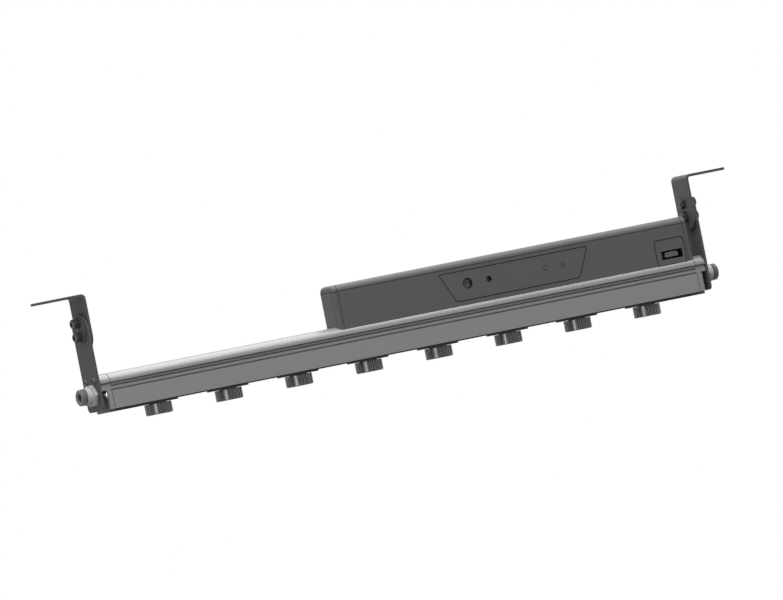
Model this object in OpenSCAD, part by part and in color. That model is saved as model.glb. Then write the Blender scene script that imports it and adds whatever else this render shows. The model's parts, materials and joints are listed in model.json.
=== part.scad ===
// Bar-type ionizer: an extruded bar that blows ionized air downwards from a row of electrode cartridges.
// A control box stands on the bar's crown, an air fitting is at each end, and it hangs from two L-brackets.
// The bar lies along X and its front faces -Y. Z = 0 is the plane of the cartridges' outlet faces.

/* [Bar profile] */
// Distance between neighbouring electrode cartridges
cartridge_pitch = 60; // [52:1:80]
// From the centre of an outermost cartridge to the end of the bar
end_margin = 50; // [46:1:70]
// Width of the bar, front to back
bar_w = 24; // [24:0.5:28]
// Height of the extruded profile
profile_h = 27; // [26:0.5:32]
// Wall of the extruded profile
profile_wall = 1.6; // [1.2:0.1:1.9]
// Radius of the crown's two long edges
crown_r = 7.4; // [6:0.1:8.5]
// Height of the side groove's lower lip above the profile's lower edge
groove_z = 14.3; // [13.9:0.1:15]
// Height of the side groove
groove_h = 5.2; // [4:0.1:5.6]
// Depth of the side groove
groove_depth = 1.0; // [0.6:0.1:1.2]
// Height of the hook slot at the top of the side groove
hook_h = 2.3; // [1.5:0.1:2.8]
// Depth of the hook slot behind the side groove
hook_depth = 0.8; // [0.4:0.1:1]
// Height of the two screw ports above the profile's lower edge
port_z = 11.3; // [10.6:0.1:11.8]
// Distance of a screw port inside the bar's side face
port_inset = 3.4; // [3:0.1:3.6]
// Outer radius of a screw port
port_r = 1.9; // [1.7:0.1:2.1]
// Radius of the hole in a screw port
port_hole_r = 1.1; // [0.9:0.05:1.3]

/* [Socket rail] */
// Width of the black strip below the profile
strip_w = 22; // [20.5:0.5:23.5]
// Height of the strip below the profile's lower edge
strip_h = 1; // [0.6:0.1:1.5]
// Height of the pads round the cartridges, below the strip
pad_h = 1; // [0.5:0.1:1.5]
// Length of a pad along the bar
pad_len = 24; // [22:0.5:30]
// Height of the rail inside the profile
rail_h = 7.5; // [7.3:0.1:8]
// Side clearance between the rail and the profile
rail_gap = 0.2; // [0.1:0.05:0.4]
// Height of the profile's inner lips that hold the rail
lip_z = 3.5; // [3:0.1:4]
// Thickness of the inner lips
lip_t = 1.2; // [0.8:0.1:1.5]
// Reach of the inner lips
lip_reach = 1.0; // [0.6:0.1:1.2]

/* [Cartridges] */
// How far a cartridge hangs below its pad
cartridge_drop = 8.5; // [7:0.1:11]
// Running gap between a cartridge's grip and its pad
grip_gap = 0.2; // [0.15:0.05:0.6]
// Radius of the fluted grip
grip_r = 10.3; // [9.8:0.1:11]
// Chamfer on the grip's lower edge
grip_chamfer = 0.6; // [0.3:0.1:1]
// Chamfer on the grip's upper edge
grip_top_chamfer = 0.2; // [0.1:0.1:0.6]
// Radius of a flute between two ribs
flute_r = 0.8; // [0.5:0.1:1]
// Distance of the flutes' centres outside the grip's radius
flute_out = 0.1; // [0:0.05:0.3]
// Angle between neighbouring flutes
flute_step = 15; // [12:0.5:16]
// Radius of the neck that turns in the rail
neck_r = 6.8; // [6.4:0.1:7]
// Clearance round the neck and its lugs
neck_gap = 0.2; // [0.1:0.05:0.3]
// Radius that the two bayonet lugs reach
lug_r = 8.2; // [7.8:0.1:8.6]
// Angle that a lug covers
lug_angle = 40; // [30:1:44]
// Angle by which an entry slot is wider than its lug, on each side
slot_play = 3; // [1:0.5:5]
// Thickness of a lug
lug_h = 1.5; // [1:0.1:1.6]
// Thickness of rail above the profile's edge that the lugs hook over
lug_seat = 0.5; // [0.3:0.1:0.6]
// Turn that frees a cartridge
bayonet_turn = 90; // [80:1:92]
// Radius of the spigot that the seal closes on
spigot_r = 4.6; // [4.2:0.1:4.7]
// Thickness of the rubber seals round the spigots
seal_t = 1.2; // [1:0.05:1.3]
// Radius of the nozzle chamber round the needle
nozzle_r = 4; // [3.2:0.1:4.5]
// Radius of the outlet's mouth
mouth_r = 7; // [5.5:0.1:8]
// Depth of the outlet's cone
mouth_depth = 2; // [1.5:0.1:2.5]
// Depth of the nozzle chamber above the cone
chamber_depth = 2.5; // [2:0.1:3]
// Radius of the emitter needle
needle_r = 0.8; // [0.5:0.05:1]
// How far the needle's tip stays inside the outlet face
tip_recess = 1.5; // [1:0.1:2]
// Length of the needle's ground point
point_len = 2.2; // [1.5:0.1:3]
// Radius of the air holes round the needle
air_hole_r = 0.8; // [0.5:0.05:0.9]

/* [Air duct and high voltage] */
// Width of the air duct
duct_w = 10.4; // [10:0.1:10.8]
// Height of the air duct
duct_h = 10.5; // [10:0.1:11]
// Radius of the duct's bore
duct_bore_r = 3.5; // [3:0.1:3.8]
// Radius of the holes that feed a socket from the duct
feed_hole_r = 1.2; // [0.8:0.1:1.3]
// Thickness of the high-voltage comb
comb_t = 0.5; // [0.3:0.1:0.8]
// Width of the comb's spine
comb_w = 2; // [1.8:0.1:2.2]
// Width of a comb finger
finger_w = 4; // [3:0.1:4.4]
// Radius of the high-voltage feed rod
feed_rod_r = 0.6; // [0.4:0.05:0.65]
// Gap round the feed rod where it passes through other parts
feed_gap = 0.1; // [0.05:0.05:0.1]
// Radius of a contact button's pin
button_r = 1.2; // [0.9:0.05:1.3]

/* [End caps] */
// Length of an end cap along the bar
cap_len = 8.6; // [8:0.1:12]
// Width of the shadow line where a cap or end cover meets its neighbour
seam_w = 0.5; // [0.2:0.1:0.8]
// Depth of that shadow line
seam_d = 0.6; // [0.1:0.1:0.8]
// Height of a cap's side recess below the profile's side groove
recess_drop = 1; // [0.4:0.1:1.4]
// Height of the slit along the top of a cap's side recess
slit_h = 1.3; // [0.8:0.1:2]
// Length of the screw notches in a cap's outer face
notch_len = 4.5; // [3.5:0.1:5]
// Radius of the arch over a cap screw
notch_r = 3.2; // [2.8:0.1:3.3]
// Length of the tongue that a cap puts into the profile
tongue_len = 6; // [4:0.5:10]
// Width of the cap's tongue
tongue_w = 10; // [8:0.5:10.5]

/* [Air fittings] */
// Height of the fittings' axis above the profile's lower edge
fitting_z = 12.5; // [12.4:0.05:12.8]
// Size across the flats of a fitting's hexagon
hex_af = 15.6; // [14.4:0.1:18]
// Thickness of the hexagon
hex_t = 2.8; // [1.5:0.1:3.5]
// Radius of a fitting's round body
body_r = 6.6; // [6:0.1:7]
// Length of a fitting outside the end plate, hexagon included
body_len = 6.8; // [6:0.1:9]
// Radius of the stem that goes through the cap
stem_r = 4; // [3.9:0.05:4.1]
// How far the stem enters the duct
stem_entry = 4; // [3:0.1:6]
// Radius of the seat for the air tube
tube_r = 3.05; // [2.8:0.01:3.1]
// Length of the tube seat
seat_len = 7; // [5:0.1:8]
// Radius of the air passage behind the tube seat
passage_r = 2; // [1.5:0.1:2.3]
// Outer radius of the release ring's sleeve
sleeve_r = 4.5; // [4.2:0.05:4.8]
// Travel of the release ring
ring_travel = 1; // [0.6:0.1:1.2]
// Thickness of the rubber seal round the tube
tube_seal_t = 1.3; // [1:0.05:1.35]
// Radius of the hole through the release ring
ring_bore_r = 3.15; // [3.12:0.01:3.3]
// Radius of the release ring's collar
ring_r = 6.2; // [5.6:0.1:6.8]
// Thickness of the release ring's collar
ring_t = 3.2; // [2.5:0.1:4]
// Gap between the collar and the fitting's body
ring_gap = 1.5; // [1.2:0.1:2]
// Rounding chamfer of the release ring
ring_chamfer = 0.6; // [0.3:0.1:1]
// Depth of the groove round the release ring's collar
ring_groove = 0.5; // [0.2:0.1:0.8]

/* [Brackets] */
// Thickness of the bracket sheet
sheet_t = 2; // [1.5:0.1:2.5]
// Height of the bracket pivot above the profile's lower edge
pivot_z = 62; // [58:0.5:70]
// Distance of each bracket screw from the pivot
pivot_screw_r = 5.1; // [4.8:0.05:5.6]
// From the pivot down to the lower end of the bracket's leg
leg_below_pivot = 16.4; // [16:0.1:20]
// Height of the flange's top face above the profile's lower edge
flange_z = 88; // [84:0.5:96]
// Length of the flange along the bar, from the leg's inner face
flange_len = 35; // [31:0.5:45]
// Outer radius of the bracket's bend
bend_r = 3.7; // [3:0.1:5]
// Radius of the flange's two tip corners
tip_r = 3; // [1:0.5:5]
// Radius of the end plate's two lower corners
foot_r = 3.5; // [1:0.5:6]
// Turn of the bracket each way from upright
bracket_turn = 45; // [30:1:45]
// Radius of the bracket screws' shanks
screw_r = 2; // [1.75:0.05:2]
// Clearance of a shank in its hole or slot
screw_gap = 0.15; // [0.1:0.05:0.25]
// Radius of the bracket screws' heads
head_r = 3.5; // [3.2:0.1:3.8]
// Height of the bracket screws' heads
head_h = 4; // [3:0.1:4.5]
// Size of the hexagon socket in a bracket screw's head
head_socket_af = 3; // [2.5:0.1:3.5]
// Radius of the washers under the bracket screws' heads
washer_r = 4.4; // [4.2:0.1:4.9]
// Thickness of those washers
washer_t = 0.8; // [0.5:0.1:1.2]
// Size of the bracket nuts across the flats
nut_af = 7; // [6.5:0.1:8]
// Height of the bracket nuts
nut_h = 3.2; // [2.5:0.1:3.6]
// Radius of the clamp disc
disc_r = 10.25; // [9.5:0.05:11]
// Thickness of the clamp disc
disc_t = 1; // [0.8:0.1:1.5]
// Radius of the flange's fixing holes
fixing_hole_r = 2.75; // [2.2:0.05:3.25]
// Distance between the flange's fixing holes
fixing_spacing = 13; // [12:0.5:14]
// From the flange's tip to the nearer fixing hole
fixing_from_tip = 9; // [6:0.5:10]
// Distance of the end plate's screws from the middle plane
plate_screw_y = 6.5; // [6.2:0.1:7]
// Height of the end plate's screws above the profile's lower edge
plate_screw_z = 22.9; // [22.6:0.1:23.2]

/* [Control box] */
// Length of the control box
box_len = 306.8; // [290:0.1:340]
// From the control box's right end to the end of the bar
box_end_gap = 7.4; // [7:0.1:12]
// Width of the control box, front to back
box_w = 21; // [20:0.5:22]
// Height of the control box, from its foot to its top
box_h = 33.7; // [33:0.1:38]
// How far the box reaches down over the crown
box_foot = 2.7; // [2.2:0.1:2.8]
// Wall of the control box
box_wall = 1.8; // [1.4:0.1:2]
// Radius of the box's two long top edges
box_top_r = 5; // [4:0.1:6]
// Radius of the edges of the box's ends
box_end_r = 3; // [1.5:0.1:3.4]
// Length of the box's end covers
box_end_len = 5; // [4:0.1:8]
// Thickness of the base plate above the crown
base_t = 2; // [1.5:0.1:3]
// Gap between the box and the crown
seat_gap = 0.1; // [0.05:0.05:0.2]

/* [Control panel] */
// From the box's right end to the middle of the label panel
label_from_end = 151.8; // [130:0.1:160]
// Length of the label panel's upper edge
label_top_len = 126.5; // [110:0.5:140]
// Length of the label panel's lower edge
label_low_len = 109; // [96:0.5:116]
// Height of the label panel
label_h = 21.8; // [18:0.1:24]
// From the box's foot to the panel's lower edge
label_z = 3.7; // [3:0.1:6]
// Radius of the panel's lower corners
label_low_r = 4; // [2:0.1:6]
// Radius of the panel's upper corners
label_top_r = 0.8; // [0.4:0.1:2]
// Thickness of the label panel
label_t = 0.5; // [0.3:0.1:0.8]
// Gap round the label panel in its recess
label_gap = 0.45; // [0.1:0.05:0.6]
// How much deeper the gap is than the panel is thick
label_groove = 0.5; // [0.2:0.1:0.7]
// Height of the controls above the panel's lower edge
control_z = 12.2; // [10:0.1:14]
// Mode selector's distance from the panel's left end
selector_from_end = 22.1; // [20:0.1:28]
// Radius of the mode selector's hole
selector_hole_r = 3.7; // [3.2:0.1:4.5]
// Distance from the mode selector to the balance trimmer
trimmer_spacing = 18.4; // [14:0.1:24]
// Radius of the balance trimmer's hole
trimmer_hole_r = 1.85; // [1.6:0.05:2.2]
// Distance of the first status lens from the panel's right end
lens_from_end = 37; // [30:0.1:42]
// Distance between the two status lenses
lens_spacing = 15; // [8:0.5:16]
// Radius of a status lens
lens_r = 1.5; // [1:0.1:2]
// Gap round the controls and lenses
control_gap = 0.2; // [0.1:0.05:0.3]
// How far the selector and trimmer stay behind the box's front
control_recess = 2.3; // [2:0.1:2.6]

/* [Power socket] */
// From the box's right end to the middle of the socket plate
socket_from_end = 18.9; // [18:0.1:30]
// Width of the socket plate
socket_plate_w = 24.6; // [22:0.1:26]
// Height of the socket plate above the box's foot
socket_plate_h = 19; // [16:0.1:24]
// Radius of the socket plate's upper corners
socket_plate_r = 3; // [1:0.1:4]
// Gap round the socket plate
socket_plate_gap = 0.4; // [0.1:0.05:0.5]
// Place of the socket's mouth, right of the socket plate's middle
mouth_x = 1; // [-1:0.1:1]
// Width of the socket's mouth
socket_mouth_w = 18; // [14:0.1:19]
// Height of the socket's mouth
socket_mouth_h = 6.4; // [5:0.1:8]
// Height of the socket's middle above the box's foot
socket_z = 7.3; // [6.6:0.1:10]
// Depth of the socket
socket_depth = 7; // [5:0.1:8]
// Wall of the socket shell
socket_wall = 1; // [0.8:0.1:1.2]
// Width of the socket's tongue
tongue_plug_w = 11; // [8:0.1:12]
// Thickness of the socket's tongue
tongue_plug_h = 3.4; // [2:0.1:3.8]
// How far the tongue stays behind the mouth
tongue_recess = 1; // [0.5:0.1:3]

/* [Hidden] */
$fn = 48;
cartridge_count = 8;
contact_count = 6;
// Lengths along the bar, from its middle
bar_half = (cartridge_count - 1) * cartridge_pitch / 2 + end_margin;
port_y = bar_w / 2 - port_inset;
profile_half = bar_half - cap_len;
// Heights: everything above the outlet faces is measured from the profile's lower edge
bar_z = cartridge_drop + pad_h + strip_h;
pad_z = -strip_h - pad_h;
outlet_z = -bar_z;
duct_top = rail_h + duct_h;
// The rail's inside: lug chamber, seal pocket and roof
chamber_top = lug_seat + lug_h + 2 * neck_gap;
spigot_top = rail_h - 3;
pocket_top = rail_h - 2;
pocket_r = spigot_r + seal_t + 0.1;
feed_hole_x = pocket_r - feed_hole_r - 0.5;
rail_w = bar_w - 2 * profile_wall - 2 * rail_gap;
// The comb's spine lies beside the duct, clear of the screw ports
spine_y = duct_w / 2 + comb_w / 2 + 0.1;
feed_rod_y = duct_w / 2 + feed_rod_r + 0.15;
// Wall behind the side groove
groove_back = groove_depth + hook_depth + 1.2;
port_floor = groove_z - 1.3;
// Control box
box_right = bar_half - box_end_gap;
box_left = box_right - box_len;
box_z = profile_h - box_foot;
cover_left = box_left + box_end_len;
cover_right = box_right - box_end_len;
cover_inner_y = -box_w / 2 + box_wall;
base_top = profile_h + base_t;
label_x = box_right - label_from_end;
selector_x = selector_from_end - label_top_len / 2;
trimmer_x = selector_x + trimmer_spacing;
lens_x = label_top_len / 2 - lens_from_end;
control_height = box_z + label_z + control_z;
board_t = 1.6;
board_front = cover_inner_y + socket_depth + socket_wall;
board_left = box_left + 0.275 * box_len;
module_left = box_left + box_end_len + 4;
module_right = board_left - 6;
rib_t = 1.2;
rib_h = 2.5;
control_front = -box_w / 2 + control_recess;
knob_t = 1.2;
stem_len = 1.8;
selector_r = selector_hole_r - control_gap;
trimmer_r = trimmer_hole_r - control_gap;
socket_x = box_right - socket_from_end + mouth_x;
socket_half = socket_mouth_w / 2 + socket_wall;
board_right = socket_x + socket_half;
board_len = board_right - board_left;
// Bracket
plate_out = bar_half + sheet_t;
disc_out = plate_out + disc_t;
washer_out = disc_out + washer_t;
slot_half_w = screw_r + screw_gap;
base_screw_r = 1.2;
base_screw_y = -4;
plate_screw_r = 1.25;
// Inside of a fitting, measured outwards from the end plate's outer face
bore_in = 0.8;
sleeve_in = bore_in + tube_seal_t + ring_travel + 0.2;
// Angle between a locked lug and its stop; the lugs enter along X
stop_play = 0.5;

function cartridge_x(i) = (i - (cartridge_count + 1) / 2) * cartridge_pitch;

// A flat outline drawn as (Y, Z) and pulled along X
module along_x(len) {
    rotate([90, 0, 90])
        linear_extrude(height = len)
            children();
}

// A flat outline drawn as (X, Z) and pulled along Y, from front to back
module along_y(front, depth) {
    translate([0, front + depth, 0])
        rotate([90, 0, 0])
            linear_extrude(height = depth)
                children();
}

// A round bar or hole along X that starts at x
module rod_x(x, len, r, y = 0, z = 0) {
    translate([x, y, z])
        rotate([0, 90, 0])
            cylinder(h = len, r = r);
}

// A round bar or hole along Y that starts at y
module rod_y(y, len, r, x = 0, z = 0) {
    translate([x, y, z])
        rotate([-90, 0, 0])
            cylinder(h = len, r = r);
}

// What belongs to an end is drawn for the right end; the left end is its mirror image
module at_end(side) {
    mirror([side < 0 ? 1 : 0, 0, 0])
        children();
}

module at_cartridges() {
    for (i = [1 : cartridge_count])
        translate([cartridge_x(i), 0, 0])
            children();
}

// A plain rectangle on Z = 0 with its two upper corners rounded
module crown_outline(w, h, r) {
    translate([-w / 2, 0])
        square([w, h - r]);
    translate([-w / 2 + r, 0])
        square([w - 2 * r, h]);
    for (s = [-1, 1])
        translate([s * (w / 2 - r), h - r])
            circle(r = r);
}

// The same outline, smaller all round but for its lower edge, for the shadow line at a joint
module inset_crown_outline(w, h, r) {
    crown_outline(w - 2 * seam_d, h - seam_d, r - seam_d);
}

// A hexagon with its corners turned off at the outer face, or at both
module hexagon(across, tall, both = false) {
    corner_r = across / 2 / cos(30);
    face_r = across / 2 + 0.1;
    bevel = (corner_r - face_r) * 0.6;
    intersection() {
        cylinder(h = tall, r = corner_r, $fn = 6);
        rotate_extrude()
            polygon([
                [0, 0], [both ? face_r : corner_r, 0], [corner_r, both ? bevel : 0.01],
                [corner_r, tall - bevel], [face_r, tall], [0, tall]
            ]);
    }
}

// A domed head that stands on Z = 0
module dome(r, h) {
    ball = (h * h + r * r) / (2 * h);
    rotate_extrude()
        intersection() {
            translate([0, h - ball])
                circle(r = ball);
            square([r, h]);
        }
}

// A pan-head screw along Z: its shank goes down from Z = 0, its head stands on it
module pan_screw(shank_r, shank_len, top_r, top_h) {
    difference() {
        union() {
            translate([0, 0, -shank_len])
                cylinder(h = shank_len + 0.5, r = shank_r);
            dome(top_r, top_h);
        }
        translate([0, 0, top_h / 2])
            cylinder(h = top_h, r = top_r * 0.42, $fn = 6);
    }
}

// A cap screw along Z: its head has straight sides, a turned-off edge and a hexagon socket
module cap_screw(shank_r, shank_len, top_r, top_h, socket_af) {
    edge = 0.12 * top_r;
    difference() {
        union() {
            translate([0, 0, -shank_len])
                cylinder(h = shank_len + 0.5, r = shank_r);
            rotate_extrude()
                polygon([[0, 0], [top_r, 0], [top_r, top_h - edge], [top_r - edge, top_h], [0, top_h]]);
        }
        translate([0, 0, top_h / 2])
            cylinder(h = top_h, r = socket_af / 2 / cos(30), $fn = 6);
    }
}

module profile_outline() {
    inner_w = bar_w - 2 * profile_wall;
    difference() {
        crown_outline(bar_w, profile_h, crown_r);
        difference() {
            translate([0, -1])
                crown_outline(inner_w, profile_h - profile_wall + 1, crown_r - profile_wall);
            for (s = [-1, 1]) {
                translate([s * (bar_w / 2 - groove_back / 2), groove_z + groove_h / 2])
                    square([groove_back, groove_h + 2 * (groove_z - port_floor)], center = true);
                translate([s * (inner_w / 2 + 0.1 - lip_reach / 2), lip_z + lip_t / 2])
                    square([lip_reach + 0.2, lip_t], center = true);
                translate([s * port_y, port_z])
                    circle(r = port_r);
            }
        }
        for (s = [-1, 1]) {
            translate([s * bar_w / 2, groove_z + groove_h / 2])
                square([2 * groove_depth, groove_h], center = true);
            translate([s * bar_w / 2, groove_z + groove_h - hook_h / 2])
                square([2 * (groove_depth + hook_depth), hook_h], center = true);
            translate([s * port_y, port_z])
                circle(r = port_hole_r);
        }
    }
}

module bar_profile() {
    color([0.55, 0.55, 0.56])
        translate([0, 0, bar_z])
            difference() {
                translate([-profile_half, 0, 0])
                    along_x(2 * profile_half)
                        profile_outline();
                for (x = base_screw_places())
                    translate([x, base_screw_y, profile_h - 4])
                        cylinder(h = 5, r = base_screw_r + 0.05);
                translate([0, feed_rod_y, duct_top + 2])
                    cylinder(h = profile_h, r = 2 * feed_rod_r);
                // In a narrower bar the rod passes through the screw port's rib
                translate([0, feed_rod_y, 0])
                    cylinder(h = profile_h, r = feed_rod_r + feed_gap);
            }
}

function base_screw_places() = [
    for (share = [0.065, 0.35, 0.66, 0.87]) box_left + share * box_len
];

module rail_outline() {
    translate([-strip_w / 2, -strip_h])
        square([strip_w, strip_h]);
    difference() {
        translate([-rail_w / 2, -0.01])
            square([rail_w, rail_h + 0.01]);
        for (s = [-1, 1])
            translate([s * rail_w / 2, lip_z + lip_t / 2])
                square([2 * lip_reach + 0.3, lip_t + 0.3], center = true);
    }
}

// A wedge of a round pocket between two angles
module pocket_sector(from, to, r, z0, z1) {
    rotate([0, 0, from])
        rotate_extrude(angle = to - from)
            translate([0, z0])
                square([r, z1 - z0]);
}

// Bayonet socket: neck bore, entry slots, the chamber that the lugs turn in, and the seal pocket
module socket_cut() {
    reach = lug_r + neck_gap;
    translate([0, 0, pad_z - 1])
        cylinder(h = chamber_top - pad_z + 1, r = neck_r + neck_gap);
    for (turn = [0, 180]) {
        entry_half = lug_angle / 2 + slot_play;
        pocket_sector(turn - entry_half, turn + entry_half, reach, pad_z - 1, chamber_top);
        pocket_sector(turn - entry_half, turn + bayonet_turn + lug_angle / 2 + stop_play,
                      reach, lug_seat, chamber_top);
    }
    translate([0, 0, chamber_top - 0.01])
        cylinder(h = pocket_top - chamber_top + 0.01, r = pocket_r);
    translate([0, 0, pocket_top - 0.01])
        cylinder(h = 3, r = button_r + 0.1);
    for (s = [-1, 1])
        translate([s * feed_hole_x, 0, pocket_top - 0.01])
            cylinder(h = 3, r = feed_hole_r);
}

// Spine beside the duct with one finger to the middle of each socket
module comb_outline(grow) {
    spine_half = cartridge_x(cartridge_count) + finger_w / 2 + grow;
    translate([-spine_half, spine_y - comb_w / 2 - grow])
        square([2 * spine_half, comb_w + 2 * grow]);
    at_cartridges()
        translate([-finger_w / 2 - grow, -finger_w / 2 - grow])
            square([finger_w + 2 * grow, finger_w / 2 + spine_y + 2 * grow]);
}

module socket_rail() {
    end_pad = profile_half - cartridge_x(cartridge_count) + pad_len / 2;
    color([0.1, 0.1, 0.1])
        translate([0, 0, bar_z])
            difference() {
                union() {
                    translate([-profile_half, 0, 0])
                        along_x(2 * profile_half)
                            rail_outline();
                    for (i = [2 : cartridge_count - 1])
                        translate([cartridge_x(i) - pad_len / 2, -strip_w / 2, pad_z])
                            cube([pad_len, strip_w, pad_h]);
                    for (side = [-1, 1])
                        at_end(side)
                            translate([profile_half - end_pad, -strip_w / 2, pad_z])
                                cube([end_pad, strip_w, pad_h]);
                }
                at_cartridges()
                    socket_cut();
                translate([0, 0, rail_h - comb_t])
                    linear_extrude(height = comb_t + 1)
                        comb_outline(0.1);
            }
}

module air_duct() {
    color([0.75, 0.75, 0.72])
        translate([0, 0, bar_z])
            difference() {
                translate([-profile_half, -duct_w / 2, rail_h])
                    cube([2 * profile_half, duct_w, duct_h]);
                rod_x(-bar_half, 2 * bar_half, duct_bore_r, 0, fitting_z);
                for (side = [-1, 1])
                    at_end(side)
                        rod_x(profile_half - stem_entry - 0.2, stem_entry + 1, stem_r + 0.1, 0, fitting_z);
                at_cartridges()
                    for (s = [-1, 1])
                        translate([s * feed_hole_x, 0, rail_h - 1])
                            cylinder(h = fitting_z - rail_h + 1, r = feed_hole_r);
            }
}

module high_voltage_comb() {
    color([0.8, 0.65, 0.3])
        translate([0, 0, bar_z + rail_h - comb_t])
            linear_extrude(height = comb_t)
                comb_outline(0);
}

// A pin through the socket's roof, with a collar under it, between the comb and the needle
module contact_buttons() {
    color([0.8, 0.65, 0.3])
        translate([0, 0, bar_z])
            at_cartridges() {
                translate([0, 0, spigot_top + 0.1])
                    cylinder(h = rail_h - comb_t - spigot_top - 0.1, r = button_r);
                translate([0, 0, pocket_top - 0.5])
                    cylinder(h = 0.5, r = button_r + 0.6);
            }
}

module ring_seal(ring_r0, thick) {
    rotate_extrude()
        translate([ring_r0, 0])
            circle(r = thick / 2);
}

module socket_seals() {
    color([0.05, 0.05, 0.05])
        translate([0, 0, bar_z + chamber_top + seal_t / 2 + 0.05])
            at_cartridges()
                ring_seal(spigot_r + seal_t / 2 + 0.05, seal_t);
}

module fitting_seals() {
    color([0.05, 0.05, 0.05])
        for (side = [-1, 1])
            at_end(side)
                translate([plate_out + bore_in + 0.05 + tube_seal_t / 2, 0, bar_z + fitting_z])
                    rotate([0, 90, 0])
                        ring_seal(sleeve_r + 0.05 - tube_seal_t / 2, tube_seal_t);
}

module high_voltage_feed() {
    color([0.8, 0.65, 0.3])
        translate([0, feed_rod_y, bar_z + rail_h])
            cylinder(h = base_top - rail_h, r = feed_rod_r);
}

// Opening in a cap's outer face that leaves room for the screw and shows it from the side
module notch_outline() {
    translate([port_y, port_z])
        circle(r = notch_r);
    translate([port_y - notch_r, -1])
        square([bar_w, port_z + 1]);
    translate([port_y, port_z - 1])
        square([bar_w, notch_r + 1]);
}

module end_cap(side) {
    foot_len = cap_len - notch_len;
    color([0.62, 0.62, 0.63])
        translate([0, 0, bar_z])
            at_end(side)
                difference() {
                    union() {
                        translate([profile_half, 0, 0])
                            along_x(cap_len)
                                inset_crown_outline(bar_w, profile_h, crown_r);
                        translate([profile_half + seam_w, 0, 0])
                            along_x(cap_len - seam_w)
                                crown_outline(bar_w, profile_h, crown_r);
                        translate([profile_half, -strip_w / 2, pad_z])
                            cube([foot_len, strip_w, -pad_z]);
                        translate([profile_half - tongue_len, -tongue_w / 2, duct_top + 0.2])
                            cube([tongue_len + 0.01, tongue_w, profile_h - profile_wall - 0.6 - duct_top]);
                    }
                    for (s = [-1, 1])
                        mirror([0, s < 0 ? 1 : 0, 0]) {
                            translate([profile_half - 1, bar_w / 2 - groove_depth, groove_z - recess_drop])
                                cube([cap_len + 2, bar_w, groove_h + recess_drop]);
                            translate([profile_half - 1, bar_w / 2 - groove_depth - hook_depth,
                                       groove_z + groove_h - slit_h])
                                cube([cap_len + 2, bar_w, slit_h]);
                            translate([bar_half - notch_len, 0, 0])
                                along_x(notch_len + 1)
                                    notch_outline();
                            rod_x(profile_half - 1, cap_len, port_hole_r + 0.15, port_y, port_z);
                            rod_x(bar_half - 7, 8, plate_screw_r + 0.05, plate_screw_y, plate_screw_z);
                        }
                    rod_x(profile_half - 1, cap_len + 2, stem_r + 0.1, 0, fitting_z);
                }
}

module cap_screws() {
    color([0.7, 0.7, 0.7])
        translate([0, 0, bar_z])
            for (side = [-1, 1], s = [-1, 1])
                at_end(side)
                    translate([bar_half - notch_len, s * port_y, port_z])
                        rotate([0, 90, 0])
                            pan_screw(port_hole_r - 0.05, 12, 2.3, 1.6);
}

module plate_outline() {
    translate([-bar_w / 2, foot_r])
        square([bar_w, pivot_z - foot_r]);
    translate([-bar_w / 2 + foot_r, 0])
        square([bar_w - 2 * foot_r, pivot_z]);
    for (s = [-1, 1])
        translate([s * (bar_w / 2 - foot_r), foot_r])
            circle(r = foot_r);
    translate([0, pivot_z])
        circle(r = bar_w / 2);
}

// A slot along an arc round the pivot, for a bracket screw that swings half_angle each way
module arc_slot(x, depth, middle, half_angle) {
    translate([x, 0, pivot_z])
        rotate([90, 0, 90]) {
            rotate([0, 0, middle - half_angle])
                rotate_extrude(angle = 2 * half_angle)
                    translate([pivot_screw_r - slot_half_w, 0])
                        square([2 * slot_half_w, depth]);
            for (turn = [middle - half_angle, middle + half_angle])
                rotate([0, 0, turn])
                    translate([pivot_screw_r, 0, 0])
                        cylinder(h = depth, r = slot_half_w);
        }
}

module end_plate(side) {
    color([0.36, 0.36, 0.36])
        translate([0, 0, bar_z])
            at_end(side)
                difference() {
                    translate([bar_half, 0, 0])
                        along_x(sheet_t)
                            plate_outline();
                    arc_slot(bar_half - 1, sheet_t + 2, 90, bracket_turn);
                    arc_slot(bar_half - 1, sheet_t + 2, 270, bracket_turn);
                    rod_x(bar_half - 1, sheet_t + 2, stem_r + 0.2, 0, fitting_z);
                    for (s = [-1, 1])
                        rod_x(bar_half - 1, sheet_t + 2, plate_screw_r + 0.15,
                              s * plate_screw_y, plate_screw_z);
                }
}

module plate_screws() {
    color([0.15, 0.15, 0.15])
        translate([0, 0, bar_z])
            for (side = [-1, 1], s = [-1, 1])
                at_end(side)
                    translate([plate_out, s * plate_screw_y, plate_screw_z])
                        rotate([0, 90, 0])
                            pan_screw(plate_screw_r, sheet_t + 6, 2.2, 1.6);
}

// One-touch fitting: hexagon and round body outside the end plate, stem through the cap into the duct
module fitting(side) {
    stem_in = sheet_t + cap_len + stem_entry;
    color([0.8, 0.8, 0.78])
        translate([0, 0, bar_z + fitting_z])
            at_end(side)
                difference() {
                    union() {
                        translate([plate_out, 0, 0])
                            rotate([0, 90, 0])
                                rotate([0, 0, 30])
                                    hexagon(hex_af, hex_t);
                        rod_x(plate_out, body_len, body_r);
                        rod_x(plate_out - stem_in, stem_in + 0.5, stem_r);
                    }
                    rod_x(plate_out + bore_in, body_len, sleeve_r + 0.1);
                    rod_x(plate_out + bore_in - seat_len, seat_len + 0.01, tube_r);
                    rod_x(plate_out - stem_in - 1, stem_in, passage_r);
                }
}

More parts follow.
